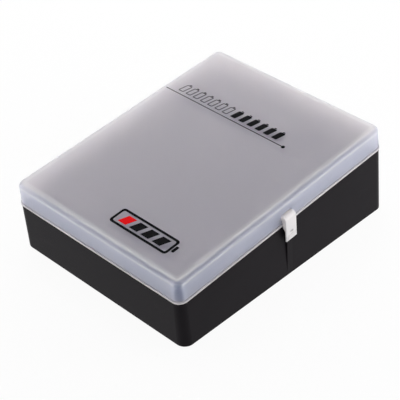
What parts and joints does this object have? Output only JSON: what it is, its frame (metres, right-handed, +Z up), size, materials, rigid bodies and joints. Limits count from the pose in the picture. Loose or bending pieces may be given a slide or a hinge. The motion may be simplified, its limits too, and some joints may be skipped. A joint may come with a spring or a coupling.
{
  "type": "battery storage case",
  "caption": "Wedge-shaped black storage case with trays for household cells and a hinged frosted lid held by a small clip latch.",
  "frame": {"origin": "centre of the flat underside of the base", "axes": "+Z up, square to the underside; +Y from the shallow front to the deep rear; +X from the hinge side to the latch side"},
  "size_m": [0.1621, 0.1992, 0.0698],
  "materials": {
    "base_plastic": "fine satin black polypropylene",
    "tray_plastic": "satin black polystyrene",
    "lid_plastic": "frosted translucent polypropylene",
    "latch_plastic": "smooth natural white plastic",
    "pin_steel": "drawn bright steel",
    "foot_rubber": "matt soft rubber"
  },
  "bodies": {
    "base": {"base_shell": "base_plastic", "bottom_plate": "base_plastic", "hinge_pin_front": "pin_steel", "hinge_pin_rear": "pin_steel", "aaa_tray_1": "tray_plastic", "aaa_tray_2": "tray_plastic", "aa_tray_1": "tray_plastic", "aa_tray_2": "tray_plastic", "aa_tray_3": "tray_plastic", "aa_tray_4": "tray_plastic", "block_tray": "tray_plastic", "c_tray": "tray_plastic", "d_tray": "tray_plastic", "aaa_riser": "tray_plastic", "aa_riser": "tray_plastic", "block_riser": "tray_plastic", "c_riser": "tray_plastic", "d_riser": "tray_plastic", "foot_1": "foot_rubber", "foot_2": "foot_rubber", "foot_3": "foot_rubber", "foot_4": "foot_rubber"},
    "lid": {"lid_shell": "lid_plastic"},
    "latch": {"latch_clip": "latch_plastic"}
  },
  "joints": [
    {"name": "lid_hinge", "type": "hinge", "parent": "base", "child": "lid", "pos_m": [-0.0784, -0.00358, 0.04395], "axis": [0, -0.9967, -0.0812], "range_deg": [0, 110]},
    {"name": "latch_swing", "type": "hinge", "parent": "lid", "child": "latch", "pos_m": [0.074, -0.00407, 0.04994], "axis": [0, -0.9967, -0.0812], "range_deg": [0, 30]}
  ]
}
